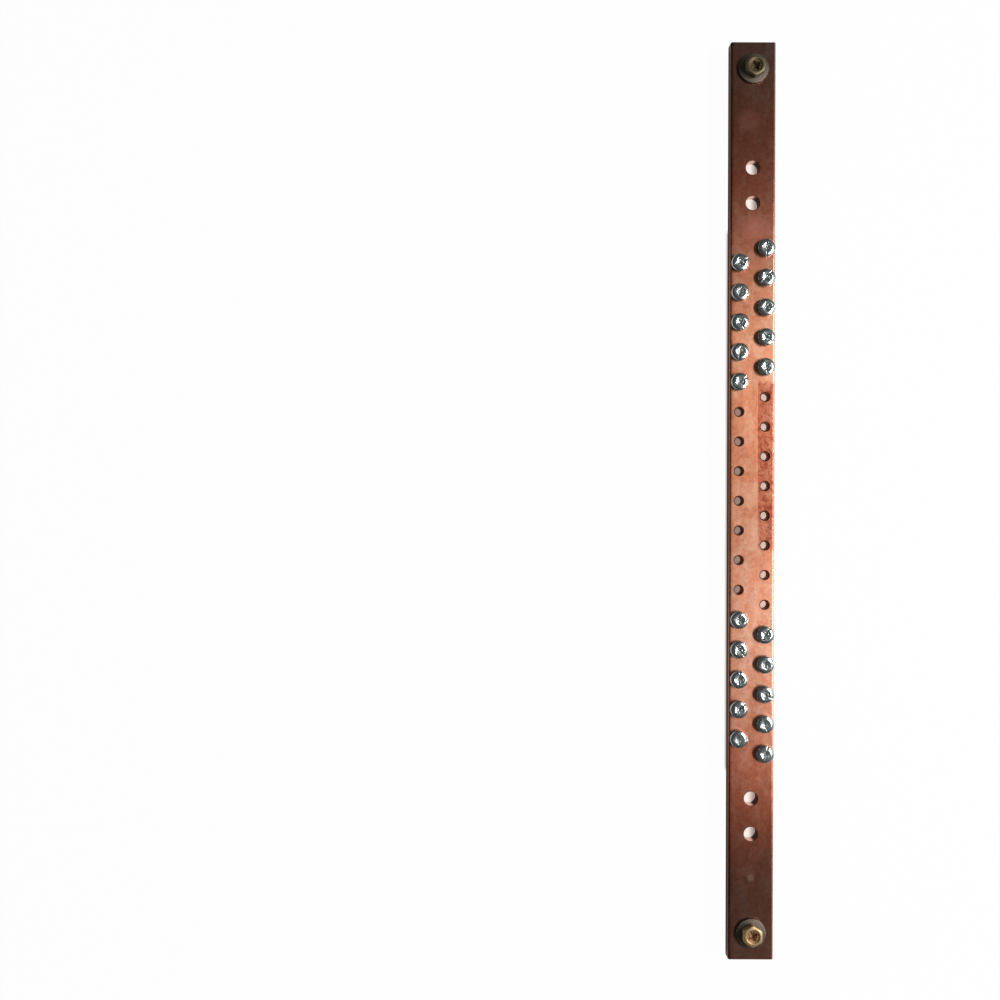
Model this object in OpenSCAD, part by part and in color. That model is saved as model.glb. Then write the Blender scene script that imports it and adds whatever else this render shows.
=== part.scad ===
// Grounding busbar for a 19 in equipment rack, in millimetres.
// A flat copper bar has two staggered rows of tapped terminal holes, with pan head
// screws in the holes nearest the ends of each row. Beyond each end of the rows a
// pair of plain holes takes a two-hole lug, and a hexagon bolt with a flat washer
// holds each end of the bar to the rack.
//
// Frame: X runs along the bar, Y across it and Z out of its front face. The origin
// is midway between the two rack bolts, on the flat back that seats on the rack.

/* [Bar] */
// Distance between the two rack bolts, centre to centre
rack_hole_spacing = 465.1; // [462:0.1:580]
// Distance from a rack bolt's centre to the bar's end
end_margin = 14.5; // [12:0.5:25]
// Width of the bar
bar_width = 24.5; // [23:0.5:40]
// Thickness of the bar
bar_thickness = 6; // [5:0.5:9]
// Radius on the bar's four long edges
edge_radius = 1.1; // [0.3:0.1:2]
// Radius on the bar's corners, seen from the front
corner_radius = 0.8; // [0.3:0.1:3]

/* [Terminal holes] */
// Number of holes in the longer row; the other row has one hole less
row_holes = 18; // [12:1:20]
// Distance between holes along a row
hole_pitch = 16; // [13:0.5:18]
// Distance between the two rows
row_spacing = 14; // [12:0.5:16]
// Number of screws fitted at each end of each row
screws_fitted = 5; // [1:1:6]
// Width of the bevel that breaks the edge of every hole
hole_bevel = 0.3; // [0.1:0.05:0.5]

/* [Lug holes] */
// Diameter of the plain holes for two-hole lugs
lug_hole_d = 7.5; // [6.5:0.1:8.5]
// Distance between the two holes of a pair
lug_hole_spacing = 19.05; // [15:0.05:25.4]
// Distance along the bar from the last terminal hole to the first lug hole
lug_hole_gap = 24.5; // [18:0.5:30]

/* [Terminal screws] */
// Outer diameter of the screw thread
screw_d = 5; // [4:0.1:5.5]
// Length of the screw below its head
screw_length = 12; // [11:0.5:20]
// Diameter of the pan head
pan_head_d = 9.5; // [8.5:0.1:11]
// Height of the pan head
pan_head_h = 3.7; // [3:0.1:4.2]
// Radius that rounds the side of the pan head into its crown
pan_head_round = 1.1; // [0.6:0.1:1.4]
// Clearance all round the screw in its tapped hole
thread_clearance = 0.05; // [0.02:0.01:0.15]
// Turn from one screw's drive to the next, in degrees
turn_step = 137.5; // [0:0.5:180]

/* [Rack bolts] */
// Outer diameter of the bolt thread
bolt_d = 6; // [5:0.1:6]
// Length of the bolt below its head
bolt_length = 12; // [10:0.5:13]
// Size of the hexagon across its flats
hex_across_flats = 10; // [8:0.1:11]
// Height of the hexagon head
hex_head_h = 4; // [3.8:0.1:5]
// Width of the rim round the dish in the hexagon's top, at the middle of a flat
dish_rim = 1.3; // [1:0.1:1.7]
// Depth of that dish
dish_depth = 0.6; // [0.3:0.1:0.8]
// Diameter of the bar's hole for the bolt
rack_hole_d = 8.5; // [7:0.1:9.5]
// Outer diameter of the flat washer
washer_d = 16; // [13:0.1:18]
// Thickness of the flat washer
washer_thickness = 1.6; // [1:0.1:2]
// Difference in diameter between the washer's hole and the bolt
washer_clearance = 0.6; // [0.2:0.1:1]

/* [Drive recesses] */
// Width of the straight slot in a terminal screw
slot_width = 1.2; // [0.8:0.1:1.6]
// Depth of the straight slot
slot_depth = 1.3; // [0.8:0.1:1.6]
// Width of the cross's wings
wing_width = 1.1; // [0.8:0.1:1.4]
// Diameter over the cross's wings where they meet the head
cross_d = 5.4; // [4.5:0.1:5.6]
// Depth of the cross
cross_depth = 2; // [1.6:0.1:2.2]

/* [Hidden] */
$fn = 64;

// How far a cutting shape runs past the surface that it cuts
past = 1;

bar_length = rack_hole_spacing + 2 * end_margin;
row_end = (row_holes - 1) * hole_pitch / 2;
lug_pair_x = row_end + lug_hole_gap + lug_hole_spacing / 2;
tapped_hole_d = screw_d + 2 * thread_clearance;

// The cut neck between a head and its thread, and the bevel on the thread's tip
neck_share = 0.88;
screw_neck = 0.8;
neck_past_washer = 0.4;
bolt_neck = washer_thickness + neck_past_washer;
tip_bevel = 0.6;

// Steps in each round stretch of the pan head's outline
round_steps = 8;

// The pan head's straight side, then the arc of its crown, which runs smoothly out
// of the rounded side
side_share = 0.5;
side_h = pan_head_h * side_share;
round_x = pan_head_d / 2 - pan_head_round;
round_rise = pan_head_h - side_h;
crown_r = (pow(round_x, 2) + pow(round_rise, 2) - pow(pan_head_round, 2))
    / (2 * (round_rise - pan_head_round));
crown_angle = asin(round_x / (crown_r - pan_head_round));

// Slope of the cross's wing ends and of the dish's wall, away from the drive's axis
wing_slope = 26.5;
dish_slope = 45;
dish_d = hex_across_flats - 2 * dish_rim;

// The tapered pit at the cross's centre, as shares of its diameter
pit_top_share = 0.8;
pit_bottom_share = 0.2;
pit_extra_depth = 0.3;

// Turn of the cross in the rack bolts
bolt_turn = 30;

// The bevel round the top of the hexagon, and the raised ring under it
hex_bevel_angle = 30;
hex_top_share = 0.92;
bearing_ring_h = 0.3;
bearing_ring_share = 0.94;

copper = [0.79, 0.50, 0.38];
zinc = [0.72, 0.75, 0.76];
yellow_zinc = [0.62, 0.52, 0.28];
dark_steel = [0.30, 0.28, 0.26];

// Places in a row that hold a screw: the first few and the last few
function fitted(count) = [
    for (i = [0 : count - 1]) if (i < screws_fitted || i >= count - screws_fitted) i
];

// Hole centres of one row. The longer row lies on the -Y side.
function row_points(count, side) = [
    for (i = [0 : count - 1]) [((count - 1) / 2 - i) * hole_pitch, side * row_spacing / 2]
];

long_row = row_points(row_holes, -1);
short_row = row_points(row_holes - 1, 1);
terminal_holes = concat(long_row, short_row);
screw_places = concat(
    [for (i = fitted(row_holes)) long_row[i]],
    [for (i = fitted(row_holes - 1)) short_row[i]]
);
lug_holes = [
    for (end = [-1, 1], hole = [-1, 1])
        [end * lug_pair_x + hole * lug_hole_spacing / 2, 0]
];
rack_holes = [for (end = [-1, 1]) [end * rack_hole_spacing / 2, 0]];

function numbered(name, i) = str(name, i < 9 ? "_0" : "_", i + 1);
SCREWS = [for (i = [0 : len(screw_places) - 1]) numbered("terminal_screw", i)];
ENDS = ["left", "right"];

// Points of an arc, from one angle to another
function arc(centre, r, from, to) = [
    for (i = [0 : round_steps])
        let (a = from + (to - from) * i / round_steps)
            centre + r * [cos(a), sin(a)]
];

// A rectangle with true round corners, centred on the origin
module rounded_rectangle(size, r) {
    square([size.x - 2 * r, size.y], center = true);
    square([size.x, size.y - 2 * r], center = true);
    for (x = [-1, 1], y = [-1, 1])
        translate([x * (size.x / 2 - r), y * (size.y / 2 - r)]) circle(r);
}

// The drawn bar: its rounded section run along X, cut to its outline
module bar_blank() {
    translate([0, 0, bar_thickness / 2]) intersection() {
        rotate([90, 0, 90])
            linear_extrude(bar_length, center = true)
                rounded_rectangle([bar_width, bar_thickness], edge_radius);
        linear_extrude(bar_thickness + 2 * past, center = true)
            rounded_rectangle([bar_length, bar_width], corner_radius);
    }
}

// A drill through the bar, with a bevel at both faces
module drill(d) {
    r = d / 2;
    wide = r + hole_bevel + past;
    rotate_extrude() polygon([
        [0, -past],
        [wide, -past],
        [r, hole_bevel],
        [r, bar_thickness - hole_bevel],
        [wide, bar_thickness + past],
        [0, bar_thickness + past]
    ]);
}

module busbar() {
    color(copper) difference() {
        bar_blank();
        for (p = terminal_holes) translate(p) drill(tapped_hole_d);
        for (p = lug_holes) translate(p) drill(lug_hole_d);
        for (p = rack_holes) translate(p) drill(rack_hole_d);
    }
}

// Outline of a threaded shank below Z = 0, from its tip up to the head
function shank_outline(d, length, neck) = [
    [0, -length],
    [d / 2 - tip_bevel, -length],
    [d / 2, -length + tip_bevel],
    [d / 2, -neck],
    [d / 2 * neck_share, -neck + d / 2 * (1 - neck_share)],
    [d / 2 * neck_share, 0]
];

// One wing pair of the cross, standing on its narrow end
module wing_pair() {
    bottom = cross_d / 2 - cross_depth * tan(wing_slope);
    rise = past * tan(wing_slope);
    rotate([90, 0, 0]) linear_extrude(wing_width, center = true) polygon([
        [-bottom, -cross_depth],
        [bottom, -cross_depth],
        [cross_d / 2 + rise, past],
        [-cross_d / 2 - rise, past]
    ]);
}

// A cross recess, cut down from Z = 0
module cross_recess() {
    pit_depth = cross_depth + pit_extra_depth;
    for (turn = [0, 90]) rotate(turn) wing_pair();
    translate([0, 0, -pit_depth])
        cylinder(h = pit_depth, d1 = cross_d * pit_bottom_share, d2 = cross_d * pit_top_share);
}

// A straight slot right across a head, cut down from Z = 0
module slot(head_d) {
    translate([-head_d, -slot_width / 2, -slot_depth])
        cube([2 * head_d, slot_width, slot_depth + past]);
}

// A shallow round dish with a sloping wall, cut down from Z = 0
module dish() {
    rise = past * tan(dish_slope);
    translate([0, 0, -dish_depth])
        cylinder(
            h = dish_depth + past,
            d1 = dish_d - 2 * dish_depth * tan(dish_slope),
            d2 = dish_d + 2 * rise
        );
}

module terminal_screw() {
    color(zinc) difference() {
        rotate_extrude() polygon(concat(
            shank_outline(screw_d, screw_length, screw_neck),
            [[pan_head_d / 2, 0]],
            arc([round_x, side_h], pan_head_round, 0, 90 - crown_angle),
            [for (p = arc([0, pan_head_h - crown_r], crown_r, 90 - crown_angle, 90)) if (p.x < round_x) p]
        ));
        translate([0, 0, pan_head_h]) {
            cross_recess();
            slot(pan_head_d);
        }
    }
}

// The hexagon, with its top corners turned to a bevel
module hex_head() {
    top_r = hex_across_flats / 2 * hex_top_share;
    corner_r = hex_across_flats / sqrt(3);
    rim_h = hex_head_h - (corner_r + past - top_r) * tan(hex_bevel_angle);
    intersection() {
        translate([0, 0, bearing_ring_h])
            cylinder(h = hex_head_h - bearing_ring_h, r = corner_r, $fn = 6);
        rotate_extrude() polygon([
            [0, 0],
            [corner_r + past, 0],
            [corner_r + past, rim_h],
            [top_r, hex_head_h],
            [0, hex_head_h]
        ]);
    }
    cylinder(h = bearing_ring_h, d = hex_across_flats * bearing_ring_share);
}

module rack_bolt() {
    color(yellow_zinc) difference() {
        union() {
            hex_head();
            rotate_extrude() polygon(concat(
                shank_outline(bolt_d, bolt_length, bolt_neck),
                [[bolt_d / 2 * neck_share, bearing_ring_h], [0, bearing_ring_h]]
            ));
        }
        translate([0, 0, hex_head_h]) dish();
        translate([0, 0, hex_head_h - dish_depth]) rotate(bolt_turn) cross_recess();
    }
}

module washer() {
    color(dark_steel) difference() {
        cylinder(h = washer_thickness, d = washer_d);
        translate([0, 0, -past])
            cylinder(h = washer_thickness + 2 * past, d = bolt_d + washer_clearance);
    }
}

busbar();

for (i = [0 : len(SCREWS) - 1])
    translate([each screw_places[i], bar_thickness]) rotate(i * turn_step) terminal_screw();

for (i = [0, 1])
    translate([each rack_holes[i], bar_thickness]) washer();

for (i = [0, 1])
    translate([each rack_holes[i], bar_thickness + washer_thickness]) rack_bolt();
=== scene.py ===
import math

import bmesh
import bpy
from mathutils import Matrix, Vector


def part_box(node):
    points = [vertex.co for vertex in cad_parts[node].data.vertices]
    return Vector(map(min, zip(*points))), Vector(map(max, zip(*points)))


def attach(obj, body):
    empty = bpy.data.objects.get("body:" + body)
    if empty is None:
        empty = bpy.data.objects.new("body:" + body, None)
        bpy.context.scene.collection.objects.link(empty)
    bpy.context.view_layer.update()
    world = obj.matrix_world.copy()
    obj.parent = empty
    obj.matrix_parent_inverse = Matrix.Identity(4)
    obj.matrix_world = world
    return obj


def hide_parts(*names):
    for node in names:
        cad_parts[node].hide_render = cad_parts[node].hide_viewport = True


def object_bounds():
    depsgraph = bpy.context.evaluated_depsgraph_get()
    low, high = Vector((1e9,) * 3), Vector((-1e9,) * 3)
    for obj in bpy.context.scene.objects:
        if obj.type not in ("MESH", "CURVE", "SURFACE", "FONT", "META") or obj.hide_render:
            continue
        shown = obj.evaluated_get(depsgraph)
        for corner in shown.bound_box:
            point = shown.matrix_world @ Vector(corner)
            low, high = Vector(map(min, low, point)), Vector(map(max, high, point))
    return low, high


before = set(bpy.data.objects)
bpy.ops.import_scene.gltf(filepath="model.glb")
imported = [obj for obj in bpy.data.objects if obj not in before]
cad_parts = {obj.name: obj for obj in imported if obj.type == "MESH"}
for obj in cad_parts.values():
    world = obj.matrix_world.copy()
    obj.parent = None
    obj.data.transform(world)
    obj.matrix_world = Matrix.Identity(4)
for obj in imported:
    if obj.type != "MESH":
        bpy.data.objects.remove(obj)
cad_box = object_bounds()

MM = 0.001
BODY = "root"
ENDS = ("left", "right")
SCREWS = [name for name in sorted(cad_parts) if name.startswith("terminal_screw")]

bar_low, bar_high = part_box("busbar")
FACE = bar_high.z
BACK = bar_low.z
FLOOR = cad_box[0].z
HALF_LENGTH = bar_high.x / MM

# The rows of tapped holes, in millimetres along and across the bar. A row's key is its side of Y.
HOLE_PITCH = 16
ROW_OFFSET = 7
ROW_HOLES = {-1: 18, 1: 17}
SCREWS_FITTED = 5
HOLE_BEVEL = 0.3 * MM

# The threads' radii and pitches, the plain neck under each head and the bevel at each tip
SCREW_THREAD = {"major": 2.5 * MM, "minor": 2.07 * MM, "pitch": 0.8 * MM}
SCREW_NECK = 0.8 * MM
BOLT_THREAD = {"major": 3.0 * MM, "minor": 2.46 * MM, "pitch": 1.0 * MM}
BOLT_NECK = 2.0 * MM
NECK_SHARE = 0.88
NECK_OVERLAP = 0.2 * MM
TIP_BEVEL = 0.6 * MM
TAPPED_ROOT = 2.58 * MM
TAPPED_CREST = 2.1 * MM
TAPPED_PROFILE = [(0, TAPPED_CREST), (0.25, TAPPED_CREST), (0.5625, TAPPED_ROOT), (0.6875, TAPPED_ROOT)]

# A terminal screw's pan head, and the worn lead-in round its drive
PAN_HEIGHT = 3.7 * MM
PAN_EDGE = 0.1 * MM
SHOULDER = 1.1 * MM
LEAD_IN_OUTER = 2.8 * MM
LEAD_IN_INNER = 0.9 * MM
LEAD_IN_RIM = PAN_HEIGHT - 0.385 * MM
LEAD_IN_FLOOR = LEAD_IN_RIM - 0.47 * MM

# A rack bolt's head. The shares are of half its width across flats.
SIXTH = math.radians(60)
HEX_TOP = 0.92
HEX_BEARING = 0.94
HEX_CORNER = 0.985
BEARING_RING = 0.3 * MM
CHAMFER_ANGLE = math.radians(30)
DISH_DEPTH = 0.6 * MM
DISH_RIM = 1.3 * MM

# The drives, and how each head is turned, in degrees
TURN_STEP = 137.5
BOLT_TURN = 30
SLOT_WIDTH = 1.2 * MM
SLOT_DEPTH = 1.3 * MM
WING_WIDTH = 1.1 * MM
WING_SLOPE = math.radians(26.5)
CROSS_WIDTH = 5.4 * MM
CROSS_DEPTH = 2.0 * MM
PIT_TOP = 0.8 * CROSS_WIDTH / 2
PIT_BOTTOM = 0.2 * CROSS_WIDTH / 2
PIT_DEPTH = CROSS_DEPTH + 0.3 * MM

# How far a cutter stands past what it cuts, and what keeps two of its faces out of one plane
PAST = 1.0 * MM
ASIDE = 0.01 * MM

# A washer's bore, its rolled rim, and how far the rim has fallen two thirds of the way round
WASHER_BORE = 3.3 * MM
WASHER_ROLL = 0.3 * MM
WASHER_FALL = 0.08 * MM

# How finely round shapes are divided, how edges are rolled over and shaded, and how close two
# points are before they become one
STEPS = 72
ARC_STEPS = 8
CUTTER_STEPS = 48
TAPPED_STEPS = 40
WASHER_STEPS = 96
EDGE_ROLL = 0.05 * MM
SHARP = math.radians(40)
CRISP = math.radians(32)
MERGE = 1e-7

# The camera above the bar's middle and to one side, and the size of the floor
CAMERA_HEIGHT = 0.507
CAMERA_SIDE = 0.1357
CAMERA_TWIST = math.radians(0.19)
SENSOR_WIDTH = 36
LENS = 33.48
FLOOR_REACH = 3.0


# Shader wiring


class Wire:
    """An output of a shader node. Sums and products of wires add the Math nodes they need."""

    def __init__(self, shader, socket):
        self.shader = shader
        self.socket = socket

    def math(self, operation, *values):
        return self.shader.add("Math", {"operation": operation}, dict(enumerate((self, *values))))

    def __add__(self, other):
        return self.math("ADD", other)

    def __radd__(self, other):
        return self.math("ADD", other)

    def __mul__(self, other):
        return self.math("MULTIPLY", other)

    def __rmul__(self, other):
        return self.math("MULTIPLY", other)

    def __sub__(self, other):
        return self.math("SUBTRACT", other)

    def __rsub__(self, other):
        return self.shader.add("Math", {"operation": "SUBTRACT"}, {0: other, 1: self})

    def __truediv__(self, other):
        return self.math("DIVIDE", other)

    def __abs__(self):
        return self.math("ABSOLUTE")

    def __or__(self, other):
        return self.math("MAXIMUM", other)

    def rise(self, low, high):
        """0 up to low, then smoothly to 1 at high. It falls instead where low is the larger."""
        if low > high:
            return 1 - self.rise(high, low)
        settings = {"interpolation_type": "SMOOTHSTEP"}
        return self.shader.add("MapRange", settings, {"Value": self, "From Min": low, "From Max": high})

    def near(self, centre, reach, soft):
        """1 within reach of centre, then smoothly to 0 over soft."""
        return 1 - abs(self - centre).rise(reach, reach + soft)


class Shader:
    """The node tree of a material or a world, written as expressions."""

    def __init__(self, owner):
        owner.use_nodes = True
        self.owner = owner
        self.tree = owner.node_tree
        self.tree.nodes.clear()

    def add(self, kind, settings=None, sockets=None, out=0):
        """A node of a kind, its settings, and the values or wires of its sockets. A node that has
        outputs gives one of them as a wire."""
        node = self.tree.nodes.new("ShaderNode" + kind)
        for name, value in (settings or {}).items():
            if name == "stops":
                node.color_ramp.interpolation = "CARDINAL"
                while len(node.color_ramp.elements) < len(value):
                    node.color_ramp.elements.new(1)
                for element, (place, colour) in zip(node.color_ramp.elements, value):
                    element.position = place
                    element.color = (*colour, 1)
            else:
                setattr(node, name, value)
        for name, value in (sockets or {}).items():
            if isinstance(value, Wire):
                self.tree.links.new(value.socket, node.inputs[name])
            else:
                node.inputs[name].default_value = value
        return Wire(self, node.outputs[out]) if node.outputs else node

    def point(self):
        """The point on the surface in millimetres."""
        point = self.add("TexCoord", out="Object")
        return self.add("VectorMath", {"operation": "SCALE"}, {0: point, "Scale": 1 / MM})

    def parts(self, point):
        """The point's X, Y and Z."""
        return [self.add("SeparateXYZ", None, {0: point}, out=axis) for axis in range(3)]

    def stretch(self, point, along):
        """The point with each part multiplied. A small factor draws a pattern out along that axis."""
        return self.add("VectorMath", {"operation": "MULTIPLY"}, {0: point, 1: along})

    def noise(self, point, scale, detail=3, rough=0.5, warp=0.0):
        grain = {"Scale": scale, "Detail": detail, "Roughness": rough, "Distortion": warp}
        return self.add("TexNoise", None, {"Vector": point, **grain})

    def spot(self, point, centre, reach, soft):
        """1 within reach of the centre, then smoothly to 0 over soft."""
        away = self.add("VectorMath", {"operation": "DISTANCE"}, {0: point, 1: centre}, out="Value")
        return away.rise(reach + soft, reach)

    def ramp(self, value, stops):
        """A colour that runs through (place, colour) stops as the value goes from 0 to 1."""
        return self.add("ValToRGB", {"stops": stops}, {0: value})

    def mix(self, share, one, other, blend="MIX"):
        """A colour that goes from one to other as the share rises."""
        pair = [colour if isinstance(colour, Wire) else (*colour, 1) for colour in (one, other)]
        settings = {"data_type": "RGBA", "blend_type": blend}
        return self.add("Mix", settings, {0: share, 6: pair[0], 7: pair[1]}, out=2)

    def bump(self, height, depth):
        """A normal from a height of 0 to 1 that stands for a depth in metres."""
        return self.add("Bump", None, {"Height": height, "Distance": depth})

    def surface(self, **sockets):
        """Ends a material with a Principled shader and gives the material."""
        named = {name.replace("_", " "): value for name, value in sockets.items()}
        shine = self.add("BsdfPrincipled", None, named)
        self.add("OutputMaterial", None, {"Surface": shine})
        return self.owner


def shader(name):
    return Shader(bpy.data.materials.new(name))


# Finishes, with places in millimetres from the middle of the bar or of the piece's seat


def aged_copper():
    """Old copper: ends darkened by tarnish and painted shade, a clean middle brightened by a painted
    reflection, stains, painted shade and a painted highlight along the long edges, and painted shade on
    one wall of each plain hole.
    """
    s = shader("aged_copper")
    point = s.point()
    x, y, z = s.parts(point)
    cloud = s.noise(s.stretch(point, (0.35, 1, 1)), 0.11, 4, 0.55, 0.6)
    blotch = s.noise(point, 0.45, 4, 0.6, 0.8)
    streak = s.noise(s.stretch(point, (0.02, 1, 1)), 2.6, 4, 0.6)
    speck = s.noise(point, 2.2, 2, 0.5)

    # Darker towards both ends and bright in the middle: partly tarnish and partly painted light, with
    # painted shade at the ends and a painted reflection in the middle
    along = (x + HALF_LENGTH) / (2 * HALF_LENGTH)
    colour = s.ramp(along + (cloud - 0.5) * 0.04, [
        (0.0, (0.36, 0.16, 0.105)),
        (0.1, (0.29, 0.11, 0.068)),
        (0.2, (0.72, 0.23, 0.13)),
        (0.33, (0.98, 0.44, 0.28)),
        (0.5, (0.76, 0.3, 0.17)),
        (0.7, (0.97, 0.4, 0.23)),
        (0.82, (0.46, 0.155, 0.092)),
        (0.92, (0.29, 0.11, 0.066)),
        (1.0, (0.25, 0.135, 0.1)),
    ])
    colour = s.mix((blotch - 0.4) * 1.5, colour, (0.5, 0.3, 0.22), "MULTIPLY")
    rosy = s.noise(s.stretch(point, (0.6, 1, 1)), 0.17, 3, 0.5, 0.4)
    colour = s.mix(rosy.rise(0.46, 0.6) * 0.6, colour, (1.06, 1.4, 1.6), "MULTIPLY")
    colour = s.mix(streak.rise(0.45, 0.75) * 0.42, colour, (0.72, 0.6, 0.55), "MULTIPLY")

    # A sharp-edged strip of tarnish along one row of holes, and blotches in it
    strip = y.rise(-2.9, -3.3) * x.near(19, 43, 4)
    colour = s.mix(strip * (0.45 + blotch * 0.65), colour, (0.5, 0.32, 0.3), "MULTIPLY")
    flake = s.noise(s.stretch(point, (0.8, 1, 1)), 0.5, 4, 0.6, 0.5).rise(0.52, 0.57)
    colour = s.mix(strip * flake * 0.75, colour, (0.6, 0.42, 0.38), "MULTIPLY")

    # Pale wiped patches, a small round mark and two redder patches
    wiped = x.near(3, 6, 1.5) * y.near(1, 4, 0.8) | x.near(-18, 7, 3) * y.near(0, 3, 2)
    mark = s.spot(point, (-203, 0, 6), 1.2, 1.2)
    colour = s.mix(wiped * 0.22 | mark * 0.22, colour, (0.9, 0.6, 0.42))
    flush = s.spot(point, (147, -1, 6), 2, 8) | s.spot(point, (205, 2, 6), 2, 6) * 0.45
    colour = s.mix(flush * 0.5, colour, (0.85, 0.3, 0.22))

    # The walls of the two pairs of plain holes, cut clean, with painted shade, darker, duller and not
    # metallic, on the wall that faces away from the key
    walls = abs(x).near(170, 14.5, 1) * z.near(3, 2.75, 0.15) * y.near(0, 4, 0.3)
    painted_wall_shade = walls * y.rise(-0.4, -2.4)
    colour = s.mix(walls, colour, (0.74, 0.46, 0.36))
    colour = s.mix(painted_wall_shade, colour, (0.06, 0.032, 0.022))

    # The long edges: one dark and dull with painted shade on the side away from the key, the other
    # lightened by a painted highlight on the key's side, and both side faces painted dark as shade
    colour = s.mix(y.rise(9.4, 11.9) * 0.6, colour, (0.3, 0.24, 0.24), "MULTIPLY")
    colour = s.mix(y.rise(-10.9, -11.7) * 0.15, colour, (0.95, 0.5, 0.36))
    colour = s.mix(abs(y).rise(12.1, 12.22) * 0.9, colour, (0.13, 0.07, 0.05))
    return s.surface(
        Base_Color=colour,
        Metallic=1 - painted_wall_shade,
        Roughness=0.36 + (cloud - 0.5) * 0.1 + (streak - 0.5) * 0.1 + strip * 0.04 + painted_wall_shade * 0.5,
        Normal=s.bump(streak * 0.7 + speck * 0.3, 0.006 * MM),
    )


def bare_copper():
    """The copper that a tap has cut."""
    s = shader("cut_copper")
    point = s.point()
    cloud = s.noise(point, 0.9, 3, 0.5)
    return s.surface(
        Base_Color=s.mix(cloud, (0.62, 0.26, 0.17), (0.36, 0.13, 0.08)),
        Metallic=1.0,
        Roughness=0.3 + cloud * 0.15,
        Normal=s.bump(s.noise(point, 4, 3), 0.03 * MM),
    )


def zinc_plate():
    """Bright zinc, with painted shade round the rim of each head that dims its highlights."""
    s = shader("bright_zinc")
    point = s.point()
    x, y, _ = s.parts(point)
    cloud = s.noise(point, 0.5, 3, 0.6)
    grain = s.noise(point, 3.5, 3, 0.6)
    # Painted shade round each head's rim, which dims the highlights there
    rim = (x * x + y * y).rise(11.5, 16.5)
    colour = s.mix(cloud, (0.7, 0.76, 0.75), (0.9, 0.94, 0.92))
    return s.surface(
        Base_Color=s.mix(rim * (0.45 + cloud * 0.5), colour, (0.36, 0.4, 0.39), "MULTIPLY"),
        Metallic=1.0,
        Roughness=0.16 + cloud * 0.13,
        Normal=s.bump(grain, 0.012 * MM),
    )


def yellow_zinc(name, bright, deep):
    """Yellow zinc that goes from bright to deep in the dish."""
    s = shader(name)
    point = s.point()
    x, y, _ = s.parts(point)
    cloud = s.noise(point, 0.4, 4, 0.6)
    grain = s.noise(point, 3, 3, 0.6)
    dish = (x * x + y * y).rise(13.5, 10.5)
    return s.surface(
        Base_Color=s.mix(dish * 0.7 + (cloud - 0.5) * 0.8, bright, deep),
        Metallic=1.0,
        Roughness=0.48 + cloud * 0.14,
        Normal=s.bump(grain, 0.02 * MM),
    )


def dull_steel():
    """The washers' dark steel."""
    s = shader("dull_steel")
    point = s.point()
    cloud = s.noise(point, 0.3, 4, 0.6)
    grain = s.noise(point, 3, 3, 0.6)
    return s.surface(
        Base_Color=s.mix(cloud, (0.12, 0.096, 0.078), (0.21, 0.17, 0.14)),
        Metallic=1.0,
        Roughness=0.46 + cloud * 0.15,
        Normal=s.bump(grain, 0.02 * MM),
    )


# Making pieces


def circle(mesh, radius, height, steps):
    """A ring of points round Z."""
    turns = [2 * math.pi * k / steps for k in range(steps)]
    return [mesh.verts.new((radius * math.cos(a), radius * math.sin(a), height)) for a in turns]


def bridge(mesh, low, high):
    """Faces between two rings. Either ring may be a single point."""
    steps = max(len(low), len(high))
    for k in range(steps):
        a, b = (low[j % len(low)] for j in (k, k + 1))
        c, d = (high[j % len(high)] for j in (k + 1, k))
        mesh.faces.new(dict.fromkeys((a, b, c, d)))


def spin(mesh, outline, steps=STEPS):
    """Turns an outline of (radius, height) points round Z. A radius of 0 makes a pole."""
    rings = []
    for radius, height in outline:
        if radius == 0:
            rings.append([mesh.verts.new((0, 0, height))])
        else:
            rings.append(circle(mesh, radius, height, steps))
    for low, high in zip(rings, rings[1:]):
        bridge(mesh, low, high)


def thread(mesh, low, high, radius_at, pitch, profile, steps=STEPS):
    """A helical surface from low to high. The profile is (share of pitch, radius) points, and
    radius_at trims each radius at its height."""
    turns = math.ceil((high - low) / pitch) + 1
    columns = []
    for k in range(turns * steps + 1):
        angle = 2 * math.pi * k / steps
        column = []
        for share, radius in profile:
            height = min(max(low - pitch + (k / steps + share) * pitch, low), high)
            radius = radius_at(radius, height)
            column.append(mesh.verts.new((radius * math.cos(angle), radius * math.sin(angle), height)))
        columns.append(column)
    for k, (one, two) in enumerate(zip(columns, columns[1:])):
        one, two = list(one), list(two)
        if k + 1 + steps < len(columns):
            one.append(columns[k + steps][0])
            two.append(columns[k + steps + 1][0])
        for a, b, c, d in zip(one, two, two[1:], one[1:]):
            mesh.faces.new((a, b, c, d))
    bmesh.ops.remove_doubles(mesh, verts=mesh.verts, dist=MERGE)


def external_profile(size):
    """A crest, a flank and a root. The flank back up ends the pitch."""
    crest, root = size["major"], size["minor"]
    return [(0, crest), (0.125, crest), (0.4375, root), (0.6875, root)]


def shank(mesh, size, tip, neck):
    """A threaded shank from its bevelled tip up to the plain neck, where the thread runs out."""
    tip_radius = size["major"] - TIP_BEVEL
    neck_radius = size["major"] * NECK_SHARE
    fade = size["pitch"] / 2

    def trimmed(radius, height):
        radius = min(radius, tip_radius + (height - tip))
        run_out = min(max((height + neck + fade) / fade, 0), 1)
        return radius + (neck_radius - radius) * run_out

    spin(mesh, [(neck_radius, -neck), (neck_radius, NECK_OVERLAP), (0, NECK_OVERLAP)])
    thread(mesh, tip, -neck, trimmed, size["pitch"], external_profile(size))
    spin(mesh, [(0, tip), (tip_radius, tip)])


def as_data(mesh, name):
    """Turns the faces being built into a named mesh."""
    data = bpy.data.meshes.new(name)
    mesh.to_mesh(data)
    mesh.free()
    return data


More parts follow.
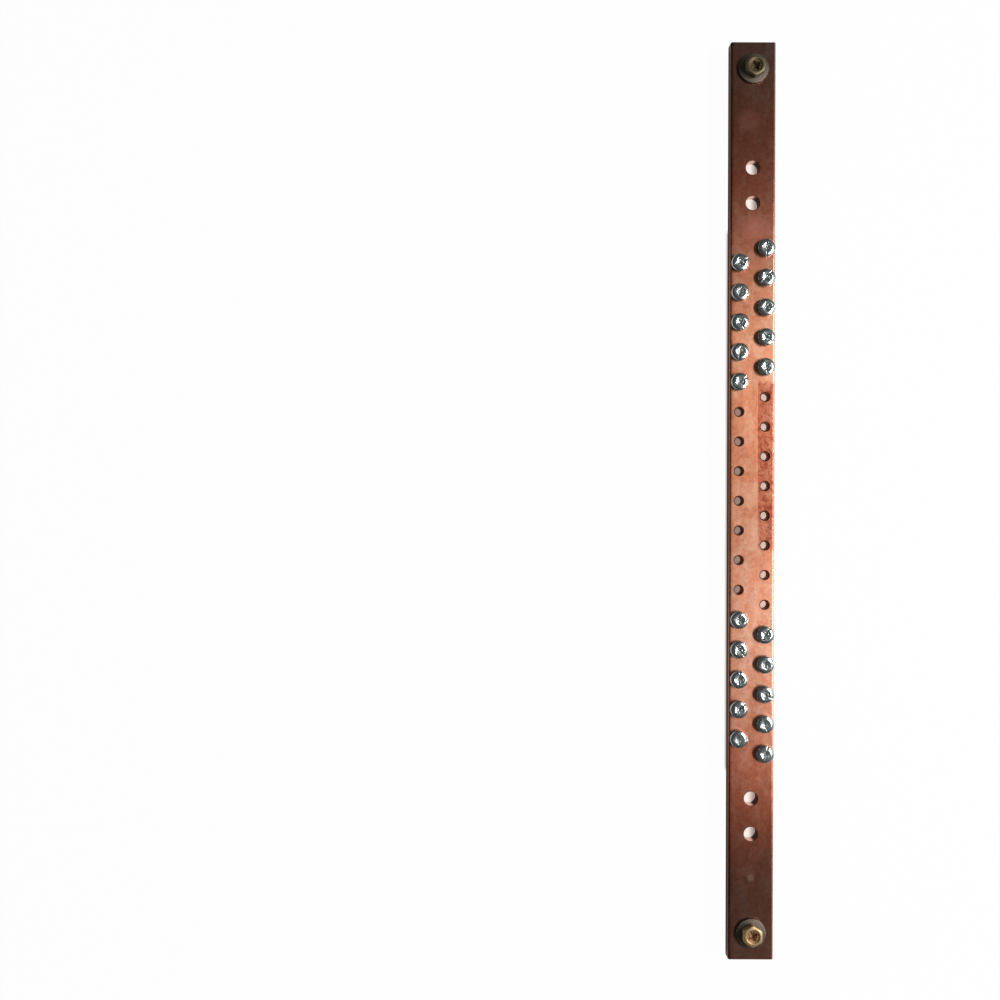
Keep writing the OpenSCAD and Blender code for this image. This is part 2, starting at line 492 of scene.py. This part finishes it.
def solid(mesh):
    """A loose object for cutting with."""
    bmesh.ops.recalc_face_normals(mesh, faces=mesh.faces)
    tool = bpy.data.objects.new("cutter", as_data(mesh, "cutter"))
    bpy.context.scene.collection.objects.link(tool)
    return tool


def apply(piece):
    """Makes the piece's modifiers part of its mesh."""
    bpy.context.view_layer.update()
    shape = piece.evaluated_get(bpy.context.evaluated_depsgraph_get())
    data = bpy.data.meshes.new_from_object(shape)
    piece.modifiers.clear()
    piece.data = data


def cut(piece, tool):
    """Takes the tool's solid out of the piece's mesh."""
    trim = piece.modifiers.new("cut", "BOOLEAN")
    trim.operation = "DIFFERENCE"
    trim.solver = "EXACT"
    trim.object = tool
    apply(piece)
    bpy.data.objects.remove(tool)


def soften(piece):
    """Rolls the sharp edges over, as plating and wear leave them."""
    bevel = piece.modifiers.new("soft_edges", "BEVEL")
    bevel.width = EDGE_ROLL
    bevel.segments = 2
    bevel.limit_method = "ANGLE"
    bevel.angle_limit = SHARP
    bevel.use_clamp_overlap = False
    apply(piece)


def prism(low, high):
    """A solid between two rings of points that face each other."""
    mesh = bmesh.new()
    rings = [[mesh.verts.new(corner) for corner in ring] for ring in (low, high)]
    for ring in rings:
        mesh.faces.new(ring)
    bridge(mesh, *rings)
    return solid(mesh)


def cross_cutters(top):
    """The cross's two wing pairs and the pit where they meet, cut down from a height."""
    tools = []
    bottom = CROSS_WIDTH / 2 - CROSS_DEPTH * math.tan(WING_SLOPE)
    wide = CROSS_WIDTH / 2 + PAST * math.tan(WING_SLOPE)
    for angle, depth in ((0, CROSS_DEPTH), (90, CROSS_DEPTH + ASIDE)):
        turn = Matrix.Rotation(math.radians(angle), 4, "Z")
        corners = [(-bottom, -depth), (bottom, -depth), (wide, PAST), (-wide, PAST)]
        sides = (-WING_WIDTH / 2, WING_WIDTH / 2)
        tools.append(prism(*([turn @ Vector((x, side, top + z)) for x, z in corners] for side in sides)))
    pit = bmesh.new()
    floor, brim = top - PIT_DEPTH, top + 2 * ASIDE
    wall = [(PIT_BOTTOM, floor), (PIT_TOP, brim), (PIT_TOP, top + PAST)]
    spin(pit, [(0, floor), *wall, (0, top + PAST)], CUTTER_STEPS)
    tools.append(solid(pit))
    return tools


def slot_cutter(top, reach):
    """The slot across a head, cut down from a height."""
    corners = [(-reach, -1), (reach, -1), (reach, 1), (-reach, 1)]
    levels = (top - SLOT_DEPTH, top + PAST)
    return prism(*([(x, side * SLOT_WIDTH / 2, level) for x, side in corners] for level in levels))


def lead_in_cutter():
    """A shallow cone, flat at the bottom, and the space above it."""
    top = PAN_HEIGHT + PAST
    cone = bmesh.new()
    wall = [(LEAD_IN_INNER, LEAD_IN_FLOOR), (LEAD_IN_OUTER, LEAD_IN_RIM), (LEAD_IN_OUTER, top)]
    spin(cone, [(0, LEAD_IN_FLOOR), *wall, (0, top)], CUTTER_STEPS)
    return solid(cone)


def pan_head(radius):
    """A pan head: straight side, rounded shoulder and a crown that runs out of it."""
    side = PAN_HEIGHT / 2
    reach = radius - SHOULDER
    rise = PAN_HEIGHT - side
    crown = (reach**2 + rise**2 - SHOULDER**2) / (2 * (rise - SHOULDER))
    lean = math.asin(reach / (crown - SHOULDER))
    outline = [(0, 0), (radius - PAN_EDGE, 0), (radius, PAN_EDGE), (radius, side)]
    for k in range(1, ARC_STEPS + 1):
        a = (math.pi / 2 - lean) * k / ARC_STEPS
        outline.append((reach + SHOULDER * math.cos(a), side + SHOULDER * math.sin(a)))
    for k in range(1, ARC_STEPS):
        a = lean * (1 - k / ARC_STEPS)
        outline.append((crown * math.sin(a), PAN_HEIGHT - crown + crown * math.cos(a)))
    mesh = bmesh.new()
    spin(mesh, [*outline, (0, PAN_HEIGHT)])
    return mesh


def hex_head(half, height):
    """A hexagon with turned top corners, the ring that it bears on and a dished top. It is turned
    back, so that its flats lie across Y once the whole bolt is turned."""
    slope = math.tan(CHAMFER_ANGLE)
    top, bearing = half * HEX_TOP, half * HEX_BEARING
    dish = half - DISH_RIM
    corner = half / math.cos(SIXTH / 2) * HEX_CORNER

    def side(a):
        from_flat = (a + math.radians(BOLT_TURN)) % SIXTH - SIXTH / 2
        return min(half / math.cos(from_flat), corner)

    def below_chamfer(a):
        return height - (side(a) - top) * slope

    levels = [
        (bearing, 0), (bearing, BEARING_RING), (side, BEARING_RING), (side, below_chamfer),
        (top, height), (dish, height), (dish - DISH_DEPTH, height - DISH_DEPTH),
    ]
    mesh = bmesh.new()
    rings = [[mesh.verts.new((0, 0, 0))]]
    for radius, level in levels:
        ring = []
        for k in range(STEPS):
            a = 2 * math.pi * k / STEPS
            r, z = (value(a) if callable(value) else value for value in (radius, level))
            ring.append(mesh.verts.new((r * math.cos(a), r * math.sin(a), z)))
        rings.append(ring)
    rings.append([mesh.verts.new((0, 0, height - DISH_DEPTH))])
    for low, high in zip(rings, rings[1:]):
        bridge(mesh, low, high)
    return mesh


def fastener(head, tools, size, length, neck):
    """A whole screw: its head with the drive cut in, the plain neck and the thread."""
    blank = solid(head)
    for tool in tools:
        cut(blank, tool)
    soften(blank)
    mesh = bmesh.new()
    mesh.from_mesh(blank.data)
    bpy.data.objects.remove(blank)
    shank(mesh, size, -length, neck)
    bmesh.ops.remove_doubles(mesh, verts=mesh.verts, dist=MERGE)
    bmesh.ops.recalc_face_normals(mesh, faces=mesh.faces)
    return mesh


def shaded(mesh, name, material):
    """A mesh with smooth faces and crisp edges where they turn sharply."""
    for edge in mesh.edges:
        edge.smooth = len(edge.link_faces) == 2 and edge.calc_face_angle() < CRISP
    for face in mesh.faces:
        face.smooth = True
    data = as_data(mesh, name)
    data.materials.clear()
    data.materials.append(material)
    return data


def turned(data, turn):
    """A copy of a mesh, turned round Z by so many degrees."""
    copy = data.copy()
    copy.transform(Matrix.Rotation(math.radians(turn), 4, "Z"))
    return copy


def put(data, name, at, instead=None):
    """A piece of the bar's body, in place of a plain CAD piece where one is named."""
    piece = bpy.data.objects.new(name, data)
    bpy.context.scene.collection.objects.link(piece)
    piece.location = at
    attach(piece, BODY)
    if instead:
        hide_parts(instead)


# The busbar's fittings. The threaded ones stand on their seats at Z = 0.


def terminal_screw(material):
    """A pan head screw with a slot and a cross, which a shallow lead-in surrounds."""
    low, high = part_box(SCREWS[0])
    radius = (high.x - low.x) / 2
    tools = [slot_cutter(PAN_HEIGHT, 2 * radius), *cross_cutters(PAN_HEIGHT), lead_in_cutter()]
    mesh = fastener(pan_head(radius), tools, SCREW_THREAD, FACE - low.z, SCREW_NECK)
    return shaded(mesh, "terminal_screw", material)


def rack_bolt(name, seat, material):
    """A dished hexagon bolt with a cross, as tall and long as the plain one of that name."""
    low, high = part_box(name)
    height = high.z - seat
    head = hex_head((high.y - low.y) / 2, height)
    mesh = fastener(head, cross_cutters(height - DISH_DEPTH), BOLT_THREAD, seat - low.z, BOLT_NECK)
    return turned(shaded(mesh, "hex_bolt", material), BOLT_TURN)


def flat_washer(outer, thick, material):
    """A stamped washer, rolled over at the top of its rim and crisper everywhere else."""
    roll = WASHER_ROLL
    mesh = bmesh.new()
    spin(mesh, [
        (WASHER_BORE, roll / 3), (WASHER_BORE, thick - roll / 2), (WASHER_BORE + roll / 2, thick),
        (outer - roll, thick), (outer - roll / 3, thick - WASHER_FALL), (outer, thick - roll),
        (outer, roll / 6), (outer - roll / 6, 0), (WASHER_BORE + roll / 3, 0), (WASHER_BORE, roll / 3),
    ], WASHER_STEPS)
    bmesh.ops.remove_doubles(mesh, verts=mesh.verts, dist=MERGE)
    bmesh.ops.recalc_face_normals(mesh, faces=mesh.faces)
    return shaded(mesh, "flat_washer", material)


def tapped_threads(material):
    """The threads cut in the empty tapped holes, trimmed by the bevels at both faces."""
    low, high = BACK + HOLE_BEVEL, FACE - HOLE_BEVEL

    def countersunk(radius, height):
        return max(radius, TAPPED_ROOT - min(height - low, high - height))

    mesh = bmesh.new()
    thread(mesh, low, high, countersunk, SCREW_THREAD["pitch"], TAPPED_PROFILE, TAPPED_STEPS)
    bmesh.ops.recalc_face_normals(mesh, faces=mesh.faces)
    bmesh.ops.reverse_faces(mesh, faces=mesh.faces)
    one_hole = as_data(mesh, "turns")
    threads = bmesh.new()
    for side, count in ROW_HOLES.items():
        for k in range(SCREWS_FITTED, count - SCREWS_FITTED):
            along = ((count - 1) / 2 - k) * HOLE_PITCH * MM
            hole = one_hole.copy()
            hole.transform(Matrix.Translation((along, side * ROW_OFFSET * MM, 0)))
            threads.from_mesh(hole)
    return shaded(threads, "tapped_threads", material)


zinc = zinc_plate()
# The same yellow zinc at both ends, the right one a darker copy
yellow = {
    "left": yellow_zinc("yellow_zinc", (0.6, 0.43, 0.22), (0.42, 0.21, 0.1)),
    "right": yellow_zinc("darker_yellow_zinc", (0.2, 0.155, 0.09), (0.16, 0.11, 0.06)),
}
dull = dull_steel()

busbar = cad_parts["busbar"]
busbar.data.materials.clear()
busbar.data.materials.append(aged_copper())

screw = terminal_screw(zinc)
for k, name in enumerate(SCREWS):
    low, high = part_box(name)
    seat = ((low.x + high.x) / 2, (low.y + high.y) / 2, FACE)
    put(turned(screw, k * TURN_STEP), name.replace("terminal", "pan_head"), seat, name)

for end in ENDS:
    low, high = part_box(f"washer_{end}")
    middle = (low + high) / 2
    bolt = rack_bolt(f"rack_bolt_{end}", high.z, yellow[end])
    put(bolt, f"hex_bolt_{end}", (middle.x, middle.y, high.z), f"rack_bolt_{end}")
    washer = flat_washer((high.x - low.x) / 2, high.z - low.z, dull)
    put(washer, f"flat_washer_{end}", (middle.x, middle.y, low.z), f"washer_{end}")

put(tapped_threads(bare_copper()), "tapped_threads", (0, 0, 0))


# The camera, the floor and the light


def stand_camera():
    """Straight down on the bar, from beside it, and a little askew."""
    eye = bpy.data.cameras.new("camera")
    eye.sensor_width = SENSOR_WIDTH
    eye.lens = LENS
    camera = bpy.data.objects.new("camera", eye)
    bpy.context.scene.collection.objects.link(camera)
    bpy.context.scene.camera = camera
    camera.matrix_world = Matrix((
        (math.sin(CAMERA_TWIST), math.cos(CAMERA_TWIST), 0, 0),
        (-math.cos(CAMERA_TWIST), math.sin(CAMERA_TWIST), 0, CAMERA_SIDE),
        (0, 0, 1, CAMERA_HEIGHT),
        (0, 0, 0, 1),
    ))


def white_floor():
    """White to the eye and in reflections, but for painted shade: masks take the glow away under the bar
    and, in reflections, beside its lee side. A painted pink tint, which stands in for light that the
    copper bounces, colours what shows through its holes."""
    s = shader("white_floor")
    x, y, _ = s.parts(s.point())
    beside = y.rise(-13.6, -12.6)
    lug_holes = abs(x).near(172, 17, 3) * y.near(0, 9, 2)
    under = x.near(0, 146, 4) * y.rise(12, 10) * beside
    lee = x.near(0, 250, 6) * y.rise(21, 15) * beside * (1 - lug_holes)
    # Painted shade: where the glow is taken away, the matte floor shows
    shade = under * (1 - 0.25 * y.rise(-3, 3)) | lug_holes * y.rise(-1, -5) * 0.75
    mirrored = s.add("LightPath", out="Is Glossy Ray") | s.add("LightPath", out="Is Transmission Ray")
    seen = s.add("LightPath", out="Is Camera Ray") * (1 - shade) | mirrored * (1 - lee)
    # A painted pink tint under the bar and the plain holes, for light bounced off the copper
    bounce_tint = s.mix(under | lug_holes * 0.6, (1, 1, 1), (1, 0.8, 0.7))
    matte = s.add("BsdfDiffuse", None, {"Color": s.mix(0.2, bounce_tint, (0, 0, 0))})
    glow = s.add("Emission", None, {"Color": bounce_tint, "Strength": 1.0})
    surface = s.add("MixShader", None, {0: seen * 0.98, 1: matte, 2: glow})
    s.add("OutputMaterial", None, {"Surface": surface})
    return s.owner


def lay_floor():
    """A wide floor under the tips of the longest screws."""
    edge = FLOOR_REACH
    data = bpy.data.meshes.new("floor")
    corners = [(-edge, -edge, 0), (edge, -edge, 0), (edge, edge, 0), (-edge, edge, 0)]
    data.from_pydata(corners, [], [(0, 1, 2, 3)])
    data.materials.append(white_floor())
    floor = bpy.data.objects.new("floor", data)
    floor.location.z = FLOOR
    bpy.context.scene.collection.objects.link(floor)


def softbox(name, place, size, power):
    """A lamp that faces the middle of the bar, hidden from the camera."""
    lamp = bpy.data.lights.new(name, "AREA")
    lamp.shape = "RECTANGLE"
    lamp.size, lamp.size_y = size
    lamp.energy = power
    light = bpy.data.objects.new(name, lamp)
    bpy.context.scene.collection.objects.link(light)
    light.location = place
    light.rotation_euler = (-Vector(place)).to_track_quat("-Z", "Y").to_euler()
    light.visible_camera = False


def light_room():
    """A dim grey room, lighter low down on the window's side."""
    room = Shader(bpy.data.worlds.new("room"))
    bpy.context.scene.world = room.owner
    _, side, up = room.parts(room.add("TexCoord", out="Generated"))
    share = up.rise(0.45, 0.05) * (0.12 + 0.88 * side.rise(0.3, -0.8))
    sky = room.mix(share, (0.07, 0.073, 0.076), (0.5, 0.52, 0.54))
    glow = room.add("Background", None, {"Color": sky, "Strength": 1.0})
    room.add("OutputWorld", None, {"Surface": glow})


stand_camera()
lay_floor()
softbox("key", (0, -0.61, 0.74), (0.72, 0.07), 9.2)
softbox("window", (-0.05, -1.5, 0.45), (0.8, 0.4), 2.2)
light_room()
bpy.context.scene.view_settings.view_transform = "Standard"

bpy.context.view_layer.update()
